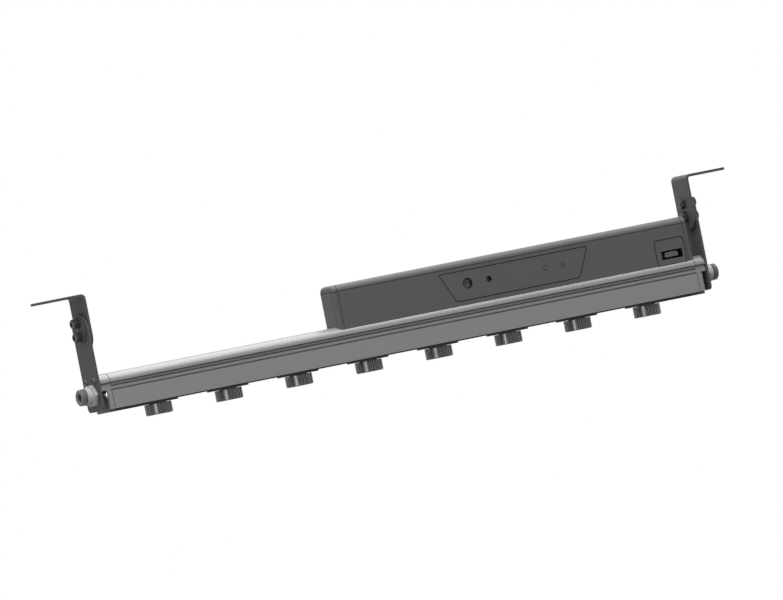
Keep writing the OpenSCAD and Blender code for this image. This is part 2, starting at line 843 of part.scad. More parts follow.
module release_ring(side) {
    collar = body_len + ring_gap;
    color([0.25, 0.25, 0.25])
        translate([0, 0, bar_z + fitting_z])
            at_end(side)
                translate([plate_out, 0, 0])
                    rotate([0, 90, 0])
                        rotate_extrude()
                            polygon([
                                [ring_bore_r, sleeve_in], [sleeve_r, sleeve_in],
                                [sleeve_r, collar], [ring_r, collar],
                                [ring_r, collar + 0.25 * ring_t],
                                [ring_r - ring_groove, collar + 0.35 * ring_t],
                                [ring_r - ring_groove, collar + 0.5 * ring_t],
                                [ring_r, collar + 0.6 * ring_t],
                                [ring_r, collar + ring_t - ring_chamfer],
                                [ring_r - ring_chamfer, collar + ring_t],
                                [ring_bore_r + ring_chamfer, collar + ring_t],
                                [ring_bore_r, collar + ring_t - ring_chamfer]
                            ]);
}

// Control box
module crown_cut(len) {
    translate([-1, 0, 0])
        along_x(len + 2)
            crown_outline(bar_w + 2 * seat_gap, profile_h + seat_gap, crown_r + seat_gap);
}

module panel_outline(grow) {
    hull() {
        for (s = [-1, 1]) {
            translate([s * (label_top_len / 2 - label_top_r), label_h - label_top_r])
                circle(r = label_top_r + grow);
            translate([s * (label_low_len / 2 - label_low_r), label_low_r])
                circle(r = label_low_r + grow);
        }
    }
}

module socket_plate_outline(grow) {
    translate([0, -grow])
        crown_outline(socket_plate_w + 2 * grow, socket_plate_h + 2 * grow, socket_plate_r + grow);
}

// Holes in the front for the selector, the trimmer and the lenses
module control_holes(front, depth) {
    rod_y(front, depth, selector_hole_r, selector_x, control_z);
    rod_y(front, depth, trimmer_hole_r, trimmer_x, control_z);
    for (k = [0, 1])
        rod_y(front, depth, lens_r + 0.05, lens_x + k * lens_spacing, control_z);
}

module box_cover() {
    color([0.33, 0.32, 0.33])
        translate([0, 0, bar_z])
            difference() {
                translate([cover_left, 0, box_z])
                    along_x(cover_right - cover_left)
                        difference() {
                            crown_outline(box_w, box_h, box_top_r);
                            translate([0, -1])
                                crown_outline(box_w - 2 * box_wall, box_h - box_wall + 1,
                                              box_top_r - box_wall);
                        }
                translate([cover_left, 0, 0])
                    crown_cut(cover_right - cover_left);
                translate([label_x, 0, box_z + label_z]) {
                    along_y(-box_w / 2 - 1, label_t + 1)
                        panel_outline(label_gap);
                    along_y(-box_w / 2 - 1, label_t + label_groove + 1)
                        difference() {
                            panel_outline(label_gap);
                            panel_outline(0);
                        }
                    control_holes(-box_w / 2 - 1, box_wall + 2);
                }
                translate([box_right - socket_from_end, 0, box_z - 1])
                    along_y(-box_w / 2 - 1, box_wall + 1.5)
                        translate([0, 1])
                            socket_plate_outline(socket_plate_gap);
                translate([box_right - socket_from_end, 0, box_z - 2])
                    along_y(-box_w / 2 - 1, box_wall + 1.5)
                        translate([-socket_plate_w / 2 - socket_plate_gap, 0])
                            square([socket_plate_w + 2 * socket_plate_gap, 6]);
            }
}

// End cover of the control box, with its outer edges rounded and a shadow line against the cover
module box_end_form() {
    side_y = box_w / 2 - box_end_r;
    arc_y = box_w / 2 - box_top_r;
    arc_z = box_h - box_top_r;
    centre_x = box_end_len - box_end_r;
    along_x(centre_x)
        inset_crown_outline(box_w, box_h, box_top_r);
    intersection() {
        hull() {
            translate([seam_w, 0, 0])
                along_x(centre_x - seam_w)
                    crown_outline(box_w, box_h, box_top_r);
            for (s = [-1, 1]) {
                translate([centre_x, s * side_y, 0])
                    cylinder(h = arc_z, r = box_end_r, $fn = 32);
                for (turn = [0 : 30 : 90])
                    translate([centre_x, s * (arc_y + (box_top_r - box_end_r) * cos(turn)),
                               arc_z + (box_top_r - box_end_r) * sin(turn)])
                        sphere(r = box_end_r, $fn = 32);
            }
        }
        translate([seam_w, -box_w, 0])
            cube([box_end_len, 2 * box_w, box_h]);
    }
}

module box_end(right) {
    plug_w = box_w - 2 * box_wall - 0.2;
    color([0.33, 0.32, 0.33])
        translate([right ? cover_right : cover_left, 0, bar_z])
            mirror([right ? 0 : 1, 0, 0])
                difference() {
                    union() {
                        translate([0, 0, box_z])
                            box_end_form();
                        translate([-2, -plug_w / 2, base_top + 0.2])
                            cube([2.01, plug_w, box_h - box_foot - base_t - box_top_r]);
                    }
                    crown_cut(box_end_len);
                }
}

module box_base() {
    inner_w = box_w - 2 * box_wall - 0.2;
    color([0.2, 0.2, 0.2])
        translate([0, 0, bar_z])
            difference() {
                union() {
                    translate([cover_left, -inner_w / 2, box_z])
                        cube([cover_right - cover_left, inner_w, base_top - box_z]);
                    for (y = [board_front - rib_t - 0.1, board_front + board_t + 0.1])
                        translate([board_left, y, base_top - 0.01])
                            cube([board_right - board_left, rib_t, rib_h]);
                }
                translate([cover_left, 0, 0])
                    crown_cut(cover_right - cover_left);
                for (x = base_screw_places())
                    translate([x, base_screw_y, profile_h - 1]) {
                        cylinder(h = base_t + 2, r = base_screw_r + 0.1);
                        translate([0, 0, 1.9])
                            cylinder(h = base_t + rib_h, r = 2.6);
                    }
                translate([0, feed_rod_y, 0])
                    cylinder(h = base_top + 1, r = feed_rod_r + feed_gap);
                translate([socket_x - socket_half - 0.2, -box_w, box_z])
                    cube([2 * socket_half + 0.4, box_w + board_front + 0.1, box_h]);
            }
}

module base_screws() {
    color([0.7, 0.7, 0.7])
        for (x = base_screw_places())
            translate([x, base_screw_y, bar_z + profile_h + 0.9])
                pan_screw(base_screw_r, 5.4, 2.3, 1.1);
}

module circuit_board() {
    color([0.1, 0.35, 0.2])
        translate([board_left, board_front, bar_z + base_top])
            cube([board_right - board_left, board_t, box_h - box_foot - base_t - box_wall - 3]);
}

// Bodies soldered to the board: selector, trimmer and lamp bodies in front, power parts behind
module board_parts() {
    front_depth = board_front - control_front - knob_t;
    back = board_front + board_t;
    low = base_top + rib_h + 0.5;
    color([0.15, 0.15, 0.17])
        translate([0, 0, bar_z]) {
            translate([label_x, 0, control_height]) {
                difference() {
                    translate([selector_x - 4, board_front - front_depth, -4])
                        cube([8, front_depth, 8]);
                    rod_y(board_front - front_depth - 1, stem_len + 1.2, 1.55, selector_x, 0);
                }
                difference() {
                    translate([trimmer_x - 2.5, board_front - front_depth, -2.5])
                        cube([5, front_depth, 5]);
                    rod_y(board_front - front_depth - 1, stem_len + 1.2, 0.85, trimmer_x, 0);
                }
                for (k = [0, 1])
                    translate([lens_x + k * lens_spacing - 1.6, board_front - 1.7, -1])
                        cube([3.2, 1.7, 2]);
            }
            for (share = [0.06, 0.12, 0.56])
                translate([board_left + share * board_len, back + 3.4, low])
                    cylinder(h = 14, r = 3.4);
            for (share = [0.19, 0.65])
                translate([board_left + share * board_len, back, low])
                    cube([12, 1.6, 12]);
            translate([board_left + 0.31 * board_len, back, low])
                cube([9, 1.6, 6]);
            translate([board_left + 0.42 * board_len, back, low])
                cube([18, 7, 14]);
        }
}

// Potted high-voltage supply with its case's lid step
module high_voltage_module() {
    depth = box_w - 2 * box_wall - 2;
    tall = box_h - box_foot - base_t - box_wall - 3;
    color([0.12, 0.12, 0.14])
        translate([module_left, -depth / 2, bar_z + base_top]) {
            cube([module_right - module_left, depth, tall - 2]);
            translate([1.5, 1.5, tall - 2.01])
                cube([module_right - module_left - 3, depth - 3, 2]);
        }
}

module label_panel() {
    color([0.34, 0.33, 0.34])
        translate([label_x, 0, bar_z + box_z + label_z])
            difference() {
                along_y(-box_w / 2, label_t)
                    panel_outline(0);
                control_holes(-box_w / 2 - 1, label_t + 2);
            }
}

module status_lenses() {
    flange_y = cover_inner_y;
    color([0.5, 0.5, 0.48])
        translate([label_x + lens_x, 0, bar_z + control_height])
            for (k = [0, 1])
                translate([k * lens_spacing, 0, 0]) {
                    rod_y(-box_w / 2 - 0.1, board_front - 1.7 + box_w / 2 + 0.1, lens_r);
                    rod_y(flange_y, 1, lens_r + 0.6);
                }
}

module socket_plate() {
    color([0.33, 0.32, 0.33])
        translate([box_right - socket_from_end, 0, bar_z + box_z])
            difference() {
                along_y(-box_w / 2, box_wall)
                    socket_plate_outline(0);
                along_y(-box_w / 2 - 1, box_wall + 2)
                    translate([mouth_x, socket_z])
                        square([socket_mouth_w, socket_mouth_h], center = true);
                translate([-socket_plate_w, 0, -box_z])
                    crown_cut(2 * socket_plate_w);
            }
}

module power_socket() {
    color([0.03, 0.03, 0.03])
        translate([socket_x, 0, bar_z + box_z + socket_z])
            difference() {
                along_y(cover_inner_y, socket_depth + socket_wall)
                    square([socket_mouth_w + 2 * socket_wall, socket_mouth_h + 2 * socket_wall],
                           center = true);
                along_y(cover_inner_y - 1, socket_depth + 1)
                    square([socket_mouth_w, socket_mouth_h], center = true);
            }
}

module socket_tongue() {
    start = -box_w / 2 + tongue_recess;
    color([0.45, 0.45, 0.45])
        translate([socket_x, 0, bar_z + box_z + socket_z])
            along_y(start, cover_inner_y + socket_depth - start)
                square([tongue_plug_w, tongue_plug_h], center = true);
}

// Contact strips along the top of the tongue
module socket_contacts() {
    start = -box_w / 2 + tongue_recess + 1;
    step = (tongue_plug_w - 2) / contact_count;
    color([0.8, 0.65, 0.3])
        translate([socket_x, 0, bar_z + box_z + socket_z + tongue_plug_h / 2])
            for (k = [0 : contact_count - 1])
                translate([(k + 0.5 - contact_count / 2) * step - 0.4, start, 0])
                    cube([0.8, cover_inner_y + socket_depth - start, 0.25]);
}

// Rotary parts on the control panel, turned with a small screwdriver
module rotary_part(x, r, stem_r0) {
    slot_w = r * 0.3;
    translate([label_x + x, 0, bar_z + control_height])
        difference() {
            union() {
                rod_y(control_front, knob_t, r);
                rod_y(control_front + 0.5, knob_t - 0.5 + stem_len, stem_r0);
            }
            translate([-r * 0.75, control_front - 1, -slot_w / 2])
                cube([1.5 * r, 1.5, slot_w]);
        }
}

module mode_selector() {
    color([0.6, 0.6, 0.58])
        rotary_part(selector_x, selector_r, 1.5);
}

module balance_trimmer() {
    color([0.6, 0.6, 0.58])
        rotary_part(trimmer_x, trimmer_r, 0.8);
}

// Bracket: a leg with a round lower end, a bend, and a flange that points outwards
module leg_outline() {
    low = pivot_z - leg_below_pivot + bar_w / 2;
    translate([0, low])
        circle(r = bar_w / 2);
    translate([-bar_w / 2, low])
        square([bar_w, flange_z - bend_r - low]);
}

module flange_outline() {
    start = bar_half - sheet_t + bend_r;
    tip = bar_half - sheet_t + flange_len;
    translate([start, -bar_w / 2])
        square([tip - tip_r - start, bar_w]);
    translate([start, -bar_w / 2 + tip_r])
        square([tip - start, bar_w - 2 * tip_r]);
    for (s = [-1, 1])
        translate([tip - tip_r, s * (bar_w / 2 - tip_r)])
            circle(r = tip_r);
}

module bend_outline() {
    intersection() {
        difference() {
            circle(r = bend_r);
            circle(r = bend_r - sheet_t);
        }
        translate([-bend_r, 0])
            square([bend_r, bend_r]);
    }
}

module bracket(side) {
    tip = bar_half - sheet_t + flange_len;
    color([0.36, 0.36, 0.36])
        translate([0, 0, bar_z])
            at_end(side)
                difference() {
                    union() {
                        translate([bar_half - sheet_t, 0, 0])
                            along_x(sheet_t)
                                leg_outline();
                        translate([bar_half - sheet_t + bend_r, 0, flange_z - bend_r])
                            along_y(-bar_w / 2, bar_w)
                                bend_outline();
                        translate([0, 0, flange_z - sheet_t])
                            linear_extrude(height = sheet_t)
                                flange_outline();
                    }
                    for (s = [-1, 1])
                        rod_x(bar_half - sheet_t - 1, sheet_t + 2, slot_half_w,
                              0, pivot_z + s * pivot_screw_r);
                    for (k = [0, 1])
                        translate([tip - fixing_from_tip - k * fixing_spacing, 0, flange_z - sheet_t - 1])
                            cylinder(h = sheet_t + 2, r = fixing_hole_r);
                }
}

module bracket_screws(side) {
    grip = washer_t + disc_t + 2 * sheet_t + nut_h + 0.5;
    color([0.3, 0.3, 0.3])
        translate([0, 0, bar_z])
            at_end(side)
                for (s = [-1, 1])
                    translate([washer_out, 0, pivot_z + s * pivot_screw_r])
                        rotate([0, 90, 0])
                            cap_screw(screw_r, grip, head_r, head_h, head_socket_af);
}

module bracket_washers(side) {
    color([0.55, 0.55, 0.55])
        translate([0, 0, bar_z])
            at_end(side)
                for (s = [-1, 1])
                    difference() {
                        rod_x(disc_out, washer_t, washer_r, 0, pivot_z + s * pivot_screw_r);
                        rod_x(disc_out - 1, washer_t + 2, screw_r + 0.05, 0, pivot_z + s * pivot_screw_r);
                    }
}

module bracket_nuts(side) {
    color([0.35, 0.35, 0.35])
        translate([0, 0, bar_z])
            at_end(side)
                for (s = [-1, 1])
                    translate([bar_half - sheet_t - nut_h, 0, pivot_z + s * pivot_screw_r])
                        rotate([0, 90, 0])
                            difference() {
                                hexagon(nut_af, nut_h, true);
                                translate([0, 0, -1])
                                    cylinder(h = nut_h + 2, r = screw_r + 0.03);
                            }
}

module clamp_disc(side) {
    edge = 0.3;
    color([0.4, 0.4, 0.4])
        translate([0, 0, bar_z])
            at_end(side)
                difference() {
                    translate([plate_out, 0, pivot_z])
                        rotate([0, 90, 0])
                            rotate_extrude()
                                polygon([
                                    [0, 0], [disc_r, 0], [disc_r, disc_t - edge],
                                    [disc_r - edge, disc_t], [0, disc_t]
                                ]);
                    for (s = [-1, 1])
                        rod_x(plate_out - 1, disc_t + 2, screw_r + 0.05, 0, pivot_z + s * pivot_screw_r);
                }
}

// Electrode cartridge: fluted grip, neck with two bayonet lugs, seal spigot and nozzle
module electrode_cartridge(i) {
    grip_top = pad_z - grip_gap;
    cone_top = outlet_z + mouth_depth;
    chamber_roof = cone_top + chamber_depth;
    needle_hole = needle_r + 0.03;
    color([0.16, 0.16, 0.16])
        translate([cartridge_x(i), 0, bar_z])
            difference() {
                union() {
                    rotate_extrude()
                        polygon([
                            [needle_hole, spigot_top], [spigot_r, spigot_top],
                            [spigot_r, chamber_top - neck_gap], [neck_r, chamber_top - neck_gap],
                            [neck_r, grip_top], [grip_r - grip_top_chamfer, grip_top],
                            [grip_r, grip_top - grip_top_chamfer], [grip_r, outlet_z + grip_chamfer],
                            [grip_r - grip_chamfer, outlet_z], [mouth_r, outlet_z],
                            [nozzle_r, cone_top], [nozzle_r, chamber_roof], [needle_hole, chamber_roof]
                        ]);
                    for (turn = [0, 180])
                        rotate([0, 0, turn + bayonet_turn - lug_angle / 2])
                            rotate_extrude(angle = lug_angle)
                                translate([neck_r - 0.5, lug_seat + neck_gap])
                                    square([lug_r - neck_r + 0.5, lug_h]);
                }
                // Four flutes at each quarter of the grip, with a smooth pad between the groups
                for (quarter = [0 : 90 : 270], k = [-1.5 : 1 : 1.5])
                    rotate([0, 0, quarter + k * flute_step])
                        translate([grip_r + flute_out, 0, outlet_z - 1])
                            cylinder(h = grip_top - outlet_z + 1.01, r = flute_r, $fn = 24);
                for (turn = [45 : 90 : 315])
                    rotate([0, 0, turn])
                        translate([(needle_r + spigot_r) / 2, 0, chamber_roof - 1])
                            cylinder(h = spigot_top - chamber_roof + 2, r = air_hole_r, $fn = 24);
            }
}

module needle(i) {
    tip_z = outlet_z + tip_recess;
    color([0.75, 0.75, 0.75])
        translate([cartridge_x(i), 0, bar_z]) {
            translate([0, 0, tip_z + point_len])
                cylinder(h = spigot_top - tip_z - point_len, r = needle_r, $fn = 24);
            translate([0, 0, tip_z])
                cylinder(h = point_len, r1 = 0.05, r2 = needle_r, $fn = 24);
        }
}

bar_profile();
socket_rail();
air_duct();
high_voltage_comb();
contact_buttons();
socket_seals();
fitting_seals();
high_voltage_feed();
end_cap(-1);  // end_cap_left
end_cap(1);  // end_cap_right
cap_screws();
end_plate(-1);  // end_plate_left
end_plate(1);  // end_plate_right
plate_screws();
fitting(-1);  // fitting_left
fitting(1);  // fitting_right
box_cover();
box_end(false);  // box_end_left
box_end(true);  // box_end_right
box_base();
base_screws();
circuit_board();
board_parts();
high_voltage_module();
label_panel();
status_lenses();
socket_plate();
power_socket();
socket_tongue();
socket_contacts();
bracket(-1);  // bracket_left
bracket_screws(-1);  // bracket_screws_left
bracket_washers(-1);  // bracket_washers_left
bracket_nuts(-1);  // bracket_nuts_left
clamp_disc(-1);  // clamp_disc_left
bracket(1);  // bracket_right
bracket_screws(1);  // bracket_screws_right
bracket_washers(1);  // bracket_washers_right
bracket_nuts(1);  // bracket_nuts_right
clamp_disc(1);  // clamp_disc_right
electrode_cartridge(1);  // cartridge_1
electrode_cartridge(2);  // cartridge_2
electrode_cartridge(3);  // cartridge_3
electrode_cartridge(4);  // cartridge_4
electrode_cartridge(5);  // cartridge_5
electrode_cartridge(6);  // cartridge_6
electrode_cartridge(7);  // cartridge_7
electrode_cartridge(8);  // cartridge_8
needle(1);  // needle_1
needle(2);  // needle_2
needle(3);  // needle_3
needle(4);  // needle_4
needle(5);  // needle_5
needle(6);  // needle_6
needle(7);  // needle_7
needle(8);  // needle_8
release_ring(-1);  // release_ring_left
release_ring(1);  // release_ring_right
mode_selector();
balance_trimmer();
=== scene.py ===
# %% [markdown]
# # Dressing an ionizing bar for a studio picture
# An ionizing bar blows air past a row of sharp needles, so that it can take static charge off a
# surface below it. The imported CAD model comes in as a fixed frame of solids, in metres, with the
# bar along X and its front facing -Y. Everything below gives those solids their finishes and adds
# what is too fine for the CAD model. Nothing moves them.

import json
import math

import bmesh
import bpy
from mathutils import Matrix, Vector


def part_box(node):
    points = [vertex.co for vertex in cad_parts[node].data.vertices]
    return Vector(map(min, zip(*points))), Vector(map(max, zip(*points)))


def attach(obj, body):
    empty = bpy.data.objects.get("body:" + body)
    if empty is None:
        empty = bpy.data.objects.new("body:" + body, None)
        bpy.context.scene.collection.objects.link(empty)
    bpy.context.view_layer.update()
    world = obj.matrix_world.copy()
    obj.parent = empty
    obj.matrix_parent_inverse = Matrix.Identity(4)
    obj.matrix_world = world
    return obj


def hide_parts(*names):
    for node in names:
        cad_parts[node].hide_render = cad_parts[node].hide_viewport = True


MM = 0.001
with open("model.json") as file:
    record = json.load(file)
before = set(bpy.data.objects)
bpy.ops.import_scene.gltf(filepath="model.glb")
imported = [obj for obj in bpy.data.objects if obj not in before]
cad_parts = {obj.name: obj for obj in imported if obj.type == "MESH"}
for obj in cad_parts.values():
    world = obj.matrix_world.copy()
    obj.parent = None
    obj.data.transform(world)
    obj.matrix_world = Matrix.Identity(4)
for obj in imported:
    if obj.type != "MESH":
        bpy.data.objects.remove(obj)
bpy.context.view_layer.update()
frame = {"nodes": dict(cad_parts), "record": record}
nodes = frame["nodes"]
bodies = frame["record"]["behaviour"]["bodies"]
body_of_node = {name: body for body, names in bodies.items() for name in names}
slot_of_node = {row["node"]: row["material_slot"] for row in frame["record"]["subparts"]}


# %% [markdown]
# ## The camera
# The picture is a parallel view from 28 degrees round to the left, with the camera level, and the
# view is turned by about eleven degrees in its frame. A camera 21 m away with a very long lens
# gives nearly the same parallel lines, and unlike an orthographic camera it can still be moved
# round the object for other views.

# %% Set up the camera
AZIMUTH = math.radians(-27.95)
ROLL = math.radians(11.26)
DISTANCE = 21.0
CLIP_NEAR, CLIP_FAR = 1, 100
SENSOR = 12
PIXELS_PER_MM = 1.3429
IMAGE_WIDTH = 783
LOOK_AT = Vector((-6.54, -11.24, 49.35)) * MM

level_right = Vector((math.cos(AZIMUTH), math.sin(AZIMUTH), 0))
up = Vector((0, 0, 1))
back = Vector((math.sin(AZIMUTH), -math.cos(AZIMUTH), 0))
picture_right = level_right * math.cos(ROLL) - up * math.sin(ROLL)
picture_up = level_right * math.sin(ROLL) + up * math.cos(ROLL)
turned = Matrix((picture_right, picture_up, back)).transposed().to_4x4()
camera = bpy.data.objects.new("camera", bpy.data.cameras.new("camera"))
bpy.context.scene.collection.objects.link(camera)
camera.matrix_world = Matrix.Translation(LOOK_AT + back * DISTANCE) @ turned
camera.data.sensor_width = SENSOR
camera.data.lens = SENSOR * DISTANCE / (IMAGE_WIDTH / PIXELS_PER_MM * MM)
camera.data.clip_start, camera.data.clip_end = CLIP_NEAR, CLIP_FAR
bpy.context.scene.camera = camera
print("lens in mm:", round(camera.data.lens, 1))

# %% [markdown]
# ## Node trees as plain expressions
# A material in Blender is a small graph, and so are the sky and a Geometry Nodes tree. Wiring them
# by hand hides the idea behind them. So one class wraps an output socket and lets `1 - mask` or
# `noise * 0.2` add the Math nodes, and one method makes every other node, in any kind of tree.


# %% A socket that can be used in sums
class Value:
    """An output socket. Sums on it add Math nodes to its tree."""

    def __init__(self, wiring, socket):
        self.wiring = wiring
        self.socket = socket

    def __add__(self, other):
        return self.wiring.math("ADD", self, other)

    def __sub__(self, other):
        return self.wiring.math("SUBTRACT", self, other)

    def __rsub__(self, other):
        return self.wiring.math("SUBTRACT", other, self)

    def __mul__(self, other):
        return self.wiring.math("MULTIPLY", self, other)

    def __truediv__(self, other):
        return self.wiring.math("DIVIDE", self, other)

    def __rtruediv__(self, other):
        return self.wiring.math("DIVIDE", other, self)

    def __gt__(self, other):
        return self.wiring.math("GREATER_THAN", self, other)

    def __lt__(self, other):
        return self.wiring.math("LESS_THAN", self, other)

    def __abs__(self):
        return self.wiring.math("ABSOLUTE", self)

    def clipped(self):
        return self.wiring.node("ShaderNodeClamp", {}, {"Value": self})

    __radd__ = __add__
    __rmul__ = __mul__


# %% A node tree that is built step by step
class Wiring:
    """A node tree of any kind. `node` makes any node in it and gives one of its outputs."""

    def __init__(self, tree):
        self.tree = tree

    def node(self, kind, settings, inputs, output=0):
        made = self.tree.nodes.new(kind)
        for name, value in settings.items():
            if name == "stops":
                self.set_stops(made.color_ramp, value)
            else:
                setattr(made, name, value)
        for name, value in inputs.items():
            self.put(made.inputs[name], value)
        if made.outputs:
            return Value(self, made.outputs[output])

    def set_stops(self, ramp, stops):
        while len(ramp.elements) < len(stops):
            ramp.elements.new(1)
        for element, (position, grey) in zip(ramp.elements, stops):
            element.position = position
            element.color = (grey, grey, grey, 1)

    def put(self, socket, value):
        if isinstance(value, Value):
            self.tree.links.new(value.socket, socket)
        else:
            socket.default_value = value

    def math(self, operation, *terms):
        return self.node("ShaderNodeMath", {"operation": operation}, dict(enumerate(terms)))


# %% A material with the patterns that come up often
# A Mix node has a pair of inputs of the same names for each kind of value, so its colours go by
# their numbers.
COLOUR_A, COLOUR_B, COLOUR_OUT = 6, 7, 2


def scaled(colour, share):
    return [min(1, c * share) for c in colour]


class Finish(Wiring):
    """One material, which starts from a Principled shader and Object coordinates."""

    def __init__(self, name):
        self.material = bpy.data.materials.new(name)
        self.material.use_nodes = True
        super().__init__(self.material.node_tree)
        self.shader = self.tree.nodes["Principled BSDF"]
        self.place = self.node("ShaderNodeTexCoord", {}, {}, "Object")

    def stretched(self, scale):
        """Object coordinates, scaled along each axis, so that a pattern can run along the bar."""
        return self.node("ShaderNodeMapping", {}, {"Vector": self.place, "Scale": scale})

    def noise(self, size_mm, detail, roughness, along=(1, 1, 1)):
        """Soft noise whose spots are about size_mm wide."""
        return self.node("ShaderNodeTexNoise", {}, {
            "Vector": self.stretched(along), "Scale": 1 / (size_mm * MM),
            "Detail": detail, "Roughness": roughness,
        })

    def at(self, axis):
        """Where a point is along X, Y or Z, in millimetres."""
        return self.node("ShaderNodeSeparateXYZ", {}, {"Vector": self.place}, axis) * (1 / MM)

    def seam(self, heights_mm, width_mm=0.7):
        """1 on level lines along the bar, at these heights, and 0 beside them, with soft sides."""
        mask = 0.0
        for height in heights_mm:
            near = 1.5 - abs(self.at("Z") - height) / (width_mm / 2)
            mask = near.clipped() + mask
        return mask.clipped()

    def ramp(self, value, stops):
        return self.node("ShaderNodeValToRGB", {"stops": stops}, {"Fac": value})

    def mixed(self, mask, low, high):
        """A colour between two, by a mask from 0 to 1. Each is a socket or four numbers."""
        inputs = {"Factor": mask, COLOUR_A: low, COLOUR_B: high}
        return self.node("ShaderNodeMix", {"data_type": "RGBA"}, inputs, COLOUR_OUT)

    def between(self, mask, low, high):
        return self.mixed(mask, (*low, 1), (*high, 1))

    def mottled(self, mask, colour, darkest, lightest):
        """A colour that goes up and down a little with a mask, between two shares of itself."""
        return self.between(mask, scaled(colour, darkest), scaled(colour, lightest))

    def tint(self, mask, below, colour):
        """A colour laid over another one where the mask is 1."""
        return self.mixed(mask, below, (*colour, 1))

    def relief(self, height, depth_mm, strength):
        """Small heights for the light to catch, depth_mm deep."""
        inputs = {"Height": height, "Distance": depth_mm * MM, "Strength": strength}
        return self.node("ShaderNodeBump", {}, inputs)

    def surface(self, **sockets):
        for name, value in sockets.items():
            self.put(self.shader.inputs[name.replace("_", " ")], value)
        return self.material


# %% [markdown]
# ## The finishes
# The profile is extruded aluminium, anodized to a satin grey. The die leaves very fine lines along
# the bar, so its noise is stretched along X. Each plastic takes the texture of its mould, and the
# brackets are powder coated, which dries to a fine orange peel. A picture of each surface could be
# wrapped round it, but noise in Object coordinates has no seams and is sharp at any distance.

# %% Metals
PROFILE_GREY = (0.19, 0.186, 0.193)
BRACKET_GREY = (0.048, 0.048, 0.048)
PAINTED_SHADE = (0.015, 0.015, 0.016)
ALONG_THE_DIE = (0.004, 1, 1)
GROOVE_CORNERS = (30.05, 27.75, 24.8)
CAP_END = -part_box("end_cap_left")[0].x / MM
CAP_FACE = CAP_END - 0.4
PROFILE_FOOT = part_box("bar_profile")[0].z / MM
CAP_FOOT = PROFILE_FOOT - 0.05


def anodized(name, grey, corners, line_mm=0.35):
    """Satin grey with the die's fine lines, and painted shade at the groove corners, cap ends and
    feet.
    """
    f = Finish(name)
    lines = f.noise(line_mm, detail=3.0, roughness=0.6, along=ALONG_THE_DIE)
    cloud = f.noise(60, detail=2.0, roughness=0.5, along=(0.3, 1, 1))
    unshaded = f.mottled((lines * 0.6 + cloud * 0.4).clipped(), grey, 0.93, 1.07)
    # Painted shade: the caps' ends and feet and the grooves' corners go nearly black.
    ends = (abs(f.at("X")) > CAP_FACE) + (f.at("Z") < CAP_FOOT)
    dark = (f.seam(corners, width_mm=1.0) + ends).clipped()
    return f.surface(
        Base_Color=f.tint(dark, unshaded, PAINTED_SHADE),
        Metallic=0.35 - dark * 0.35,
        Roughness=lines * 0.14 + 0.33,
        Normal=f.relief(lines, 0.012, 0.35),
    )


def powder_coat(name, grey):
    """A coat that has run together in the oven, with a fine orange peel."""
    f = Finish(name)
    peel = f.noise(1.1, detail=2.0, roughness=0.45)
    fine = f.noise(0.25, detail=2.0, roughness=0.6)
    return f.surface(
        Base_Color=f.mottled(fine, grey, 0.94, 1.06),
        Roughness=fine * 0.1 + 0.55,
        Specular_IOR_Level=0.35,
        Normal=f.relief(peel + fine * 0.2, 0.015, 0.3),
    )


def turned_metal(name, colour, roughness, metallic=1.0):
    """Bare or plated metal with a fine grain."""
    f = Finish(name)
    grain = f.noise(0.3, detail=3.0, roughness=0.65)
    return f.surface(
        Base_Color=f.mottled(grain, colour, 0.9, 1.08),
        Metallic=metallic,
        Roughness=grain * 0.12 + roughness,
        Normal=f.relief(grain, 0.008, 0.3),
    )


print(f"grooves at {GROOVE_CORNERS}, caps' ends at {CAP_END:.1f}, foot at {PROFILE_FOOT:.1f} mm")

# %% [markdown]
# ## Painted shade on the plastics
# Little light gets into the flutes and the narrow gaps, so their shade is painted into the colour,
# and a dark line is painted where the cover's rounded top starts. A shader could look for such
# places on the mesh, but that is slow and hard to bake. The sizes of the part are known, so a test
# on where a point lies is enough, and it is the same in every view.

# %% Where shade and a dark line are painted
COVER_ROUNDING = 5
BOX_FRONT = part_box("box_cover")[0].y / MM
BOX_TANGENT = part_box("box_cover")[1].z / MM - COVER_ROUNDING
POCKET_DEPTHS = (0.06, 1.7)
POCKET_SPAN = (0, 247)
POCKET_TOP = BOX_TANGENT - 0.8
LABEL_EDGE = BOX_FRONT + 0.05
BAR_PITCH = 60
FLUTE_RADII = (8.8, 10.2)
FLUTE_HEIGHTS = (0.3, 8.2)
FLUTE_FADE = 0.25


def within(value, limits):
    return (value > limits[0]) * (value < limits[1])


def gaps_of_the_box(f):
    """Painted shade in the gaps round what is set into the front, and a dark line below the
    rounded top.
    """
    pockets = within(f.at("Y"), [BOX_FRONT + depth for depth in POCKET_DEPTHS])
    pockets = pockets * (f.at("Z") < POCKET_TOP) * within(f.at("X"), POCKET_SPAN)
    return (pockets + f.seam((BOX_TANGENT,))).clipped()


def edge_of_the_label(f):
    # Painted shade on the label's side faces, down in the gap round the label.
    return f.at("Y") > LABEL_EDGE


def bottoms_of_the_flutes(f):
    """How far a point of a cartridge's grip is from its axis says whether it lies in a flute."""
    # Painted shade: the grip is darkened where it lies in the bottom of a flute.
    across = f.math("WRAP", f.at("X"), BAR_PITCH, 0.0) - BAR_PITCH / 2
    y = f.at("Y")
    radius = f.math("SQRT", across * across + y * y)
    inner, outer = FLUTE_RADII
    deep = ((outer - radius) / FLUTE_FADE).clipped()
    return deep * (radius > inner) * within(f.at("Z"), FLUTE_HEIGHTS)


print(f"box front at {BOX_FRONT:.1f} mm, its rounded top starts at {BOX_TANGENT:.1f}")

# %% [markdown]
# ## Plastics, rubber and the circuit board
# A moulded part copies the fine texture of its mould, and the plastic's flow leaves it a little
# cloudy. Each one could have a graph of its own, but one function with the few values that tell
# them apart keeps them alike. The board's copper tracks are the edges of a pattern of cells.


